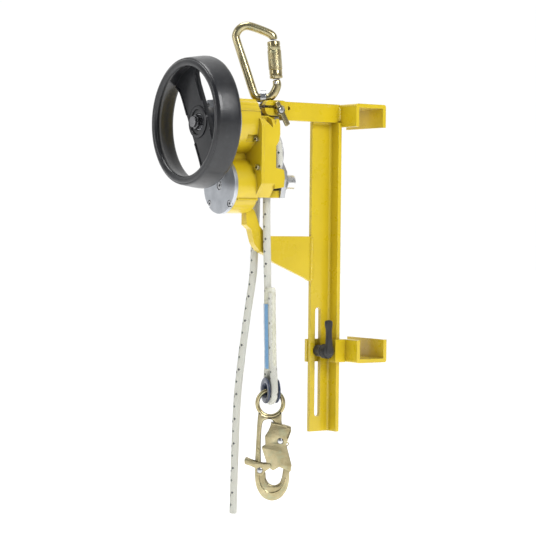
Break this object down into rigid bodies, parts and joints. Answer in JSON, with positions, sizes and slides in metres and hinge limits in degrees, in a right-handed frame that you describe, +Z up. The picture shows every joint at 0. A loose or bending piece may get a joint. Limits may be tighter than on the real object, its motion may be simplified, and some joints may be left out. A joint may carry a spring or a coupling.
{
  "type": "rescue descender with ladder bracket",
  "caption": "Hand-wheel controlled-descent rescue device on a yellow ladder bracket, with textile rope, splice cover, thimble, locking snap hook and anchor carabiner",
  "frame": {"origin": "middle of the inner top face of the upper ladder hook, where it rests on a rung", "axes": "+Z up along the post; X across the arm, -X toward the device and its handwheel, +X toward the ladder; Y along the ladder rung, with -Y the side the clamp lever is on"},
  "size_m": [0.2823, 0.164, 0.6201],
  "materials": {
    "bracket_paint": "gloss powder coat",
    "slider_paint": "gloss powder coat",
    "case_paint": "gloss paint on aluminium casting",
    "face_plate": "satin",
    "wheel_plastic": "semi-gloss moulded nylon",
    "black_lever": "moulded grip",
    "plain_steel": "zinc plated",
    "bronze": "sintered",
    "seal_rubber": "matt",
    "alloy_sheave": "machined",
    "alloy_rear": "satin",
    "cast_drum": "bored",
    "alloy_carrier": "machined",
    "lined_shoe": "steel shoe with bonded lining",
    "guide_plastic": "moulded",
    "gold_zinc": "yellow zinc chromate",
    "rope_textile": "braided kernmantle sheath with dark tracers",
    "clear_cover": "clear heat-shrink over stitched splice",
    "navy_plastic": "moulded"
  },
  "bodies": {
    "bracket": {"upper_hook": "bracket_paint", "arm": "bracket_paint", "arm_fork": "bracket_paint", "post": "bracket_paint", "gusset": "bracket_paint", "rest_finger": "bracket_paint", "bracket_welds": "bracket_paint", "front_plate": "face_plate", "gear_case": "case_paint", "sheave_case": "case_paint", "main_bushings": "bronze", "sheave_bushings": "bronze", "idler_bushings": "bronze", "brake_bushings": "bronze", "shaft_seal": "seal_rubber", "plate_screws": "plain_steel", "case_screws": "plain_steel", "brake_drum": "cast_drum", "rear_frame": "alloy_rear", "frame_screws": "plain_steel", "rope_guide": "guide_plastic", "hanger": "plain_steel", "rope": "rope_textile", "splice_sleeve": "clear_cover", "thimble_body": "navy_plastic"},
    "slider": {"slide_plate": "slider_paint", "lower_hook": "slider_paint", "clamp_stud": "plain_steel"},
    "clamp_handle": {"clamp_lever": "black_lever", "lever_screw": "plain_steel"},
    "wheel_rotor": {"handwheel": "wheel_plastic", "hub_bush": "plain_steel", "wheel_nut": "plain_steel", "main_shaft": "plain_steel", "wheel_pinion": "plain_steel"},
    "sheave_rotor": {"sheave_shaft": "plain_steel", "drive_gear": "plain_steel", "sheave": "alloy_sheave", "shaft_clip": "plain_steel"},
    "idler": {"idler_pinion": "plain_steel", "idler_gear": "plain_steel"},
    "brake_rotor": {"brake_pinion": "plain_steel", "shoe_carrier": "alloy_carrier"},
    "shoe_a_body": {"shoe_a": "lined_shoe"},
    "shoe_b_body": {"shoe_b": "lined_shoe"},
    "shoe_c_body": {"shoe_c": "lined_shoe"},
    "plunger": {"pull_knob": "alloy_rear", "plunger_pin": "plain_steel"},
    "release": {"release_pin": "plain_steel", "release_lever": "gold_zinc"},
    "swivel": {"swivel_eye": "plain_steel"},
    "carabiner": {"carabiner_body": "gold_zinc"},
    "clip_gate": {"carabiner_gate": "gold_zinc"},
    "clip_sleeve": {"gate_sleeve": "gold_zinc"},
    "snap_hook": {"snap_hook_body": "gold_zinc", "gate_pin": "plain_steel", "lock_pin": "plain_steel"},
    "snap_gate": {"hook_gate": "gold_zinc"},
    "snap_lock": {"lock_lever": "gold_zinc"}
  },
  "joints": [
    {"name": "slider_height", "type": "slide", "parent": "bracket", "child": "slider", "axis": [0, 0, 1], "range_m": [-0.08, 0.05]},
    {"name": "clamp_turn", "type": "hinge", "parent": "slider", "child": "clamp_handle", "pos_m": [-0.0468, 0, -0.312], "axis": [0, 1, 0], "range_deg": [-150, 35]},
    {"name": "wheel_spin", "type": "hinge", "parent": "bracket", "child": "wheel_rotor", "pos_m": [-0.2, 0.0105, -0.025], "axis": [1, 0, 0], "continuous": true},
    {"name": "sheave_spin", "type": "hinge", "parent": "bracket", "child": "sheave_rotor", "pos_m": [-0.135, 0.0105, -0.06375], "axis": [1, 0, 0], "continuous": true},
    {"name": "idler_spin", "type": "hinge", "parent": "bracket", "child": "idler", "pos_m": [-0.16, 0.03114, -0.09355], "axis": [1, 0, 0], "continuous": true},
    {"name": "brake_spin", "type": "hinge", "parent": "bracket", "child": "brake_rotor", "pos_m": [-0.18, 0.0105, -0.1025], "axis": [1, 0, 0], "continuous": true},
    {"name": "shoe_a_out", "type": "slide", "parent": "brake_rotor", "child": "shoe_a_body", "axis": [0, 0, 1], "range_m": [0, 0.0009], "stiffness_N_per_m": 900},
    {"name": "shoe_b_out", "type": "slide", "parent": "brake_rotor", "child": "shoe_b_body", "axis": [0, -0.866, -0.5], "range_m": [0, 0.0009], "stiffness_N_per_m": 900},
    {"name": "shoe_c_out", "type": "slide", "parent": "brake_rotor", "child": "shoe_c_body", "axis": [0, 0.866, -0.5], "range_m": [0, 0.0009], "stiffness_N_per_m": 900},
    {"name": "knob_pull", "type": "slide", "parent": "bracket", "child": "plunger", "axis": [1, 0, 0], "range_m": [0, 0.006], "stiffness_N_per_m": 400},
    {"name": "release_turn", "type": "hinge", "parent": "bracket", "child": "release", "pos_m": [-0.126, 0, -0.007], "axis": [0, 1, 0], "range_deg": [-90, 0]},
    {"name": "swivel_turn", "type": "hinge", "parent": "bracket", "child": "swivel", "pos_m": [-0.134, 0.0105, 0], "axis": [0, 0, 1], "range_deg": [-25, 25]},
    {"name": "clip_swing", "type": "hinge", "parent": "swivel", "child": "carabiner", "pos_m": [-0.134, 0.0105, 0.009], "axis": [0.8221, -0.5693, 0], "range_deg": [-60, 45]},
    {"name": "clip_gate_swing", "type": "hinge", "parent": "carabiner", "child": "clip_gate", "pos_m": [-0.12455, 0.00395, 0.0325], "axis": [0.5693, 0.8221, 0], "range_deg": [-25, 0], "stiffness_Nm_per_rad": 0.8, "springref_deg": 8.59},
    {"name": "clip_sleeve_turn", "type": "hinge", "parent": "clip_gate", "child": "clip_sleeve", "pos_m": [-0.12233, 0.00242, 0.057], "axis": [-0.0688, 0.0476, 0.9965], "range_deg": [0, 90], "stiffness_Nm_per_rad": 0.05, "springref_deg": -11.46},
    {"name": "snap_swing", "type": "hinge", "parent": "bracket", "child": "snap_hook", "pos_m": [-0.128, -0.0035, -0.3595], "axis": [0.8221, -0.5693, 0], "range_deg": [-35, 35]},
    {"name": "snap_gate_swing", "type": "hinge", "parent": "snap_hook", "child": "snap_gate", "pos_m": [-0.11731, -0.0109, -0.4228], "axis": [0.5693, 0.8221, 0], "range_deg": [0, 20], "stiffness_Nm_per_rad": 0.8, "springref_deg": -8.59},
    {"name": "snap_lock_press", "type": "hinge", "parent": "snap_hook", "child": "snap_lock", "pos_m": [-0.13828, 0.00362, -0.4598], "axis": [0.5693, 0.8221, 0], "range_deg": [-12, 0], "stiffness_Nm_per_rad": 0.8, "springref_deg": 8.59}
  ],
  "couplings": [
    {"joint": "sheave_spin", "follows": "wheel_spin", "ratio": -0.34783},
    {"joint": "idler_spin", "follows": "wheel_spin", "ratio": 1.3333},
    {"joint": "brake_spin", "follows": "wheel_spin", "ratio": -3.4667},
    {"joint": "shoe_b_out", "follows": "shoe_a_out", "ratio": 1},
    {"joint": "shoe_c_out", "follows": "shoe_a_out", "ratio": 1}
  ]
}
